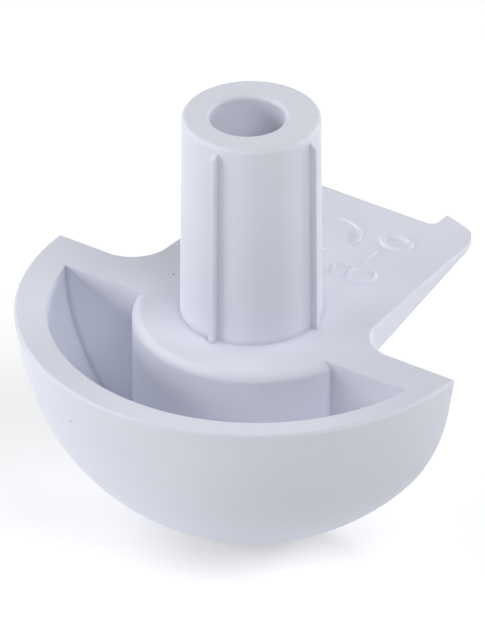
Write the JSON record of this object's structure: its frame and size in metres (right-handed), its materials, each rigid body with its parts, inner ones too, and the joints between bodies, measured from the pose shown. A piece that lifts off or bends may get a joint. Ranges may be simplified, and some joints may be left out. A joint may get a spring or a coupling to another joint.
{
  "type": "fridge shelf holder",
  "caption": "Moulded plastic shelf holder with a quarter-round body, a ribbed hollow spigot that plugs into the fridge wall, a flat shelf seat and a thin notched plate.",
  "frame": {"origin": "on the spigot's axis, in the plane of the flat face that lies against the fridge wall", "axes": "+Z along the spigot towards its tip, into the wall; +Y out along the plate, away from the quarter-round body; +X to the right"},
  "size_m": [0.0305, 0.0315, 0.0292],
  "materials": {
    "plastic": "satin, off-white with a slight blue tint"
  },
  "bodies": {
    "root": {"shelf_holder": "plastic"}
  },
  "joints": []
}
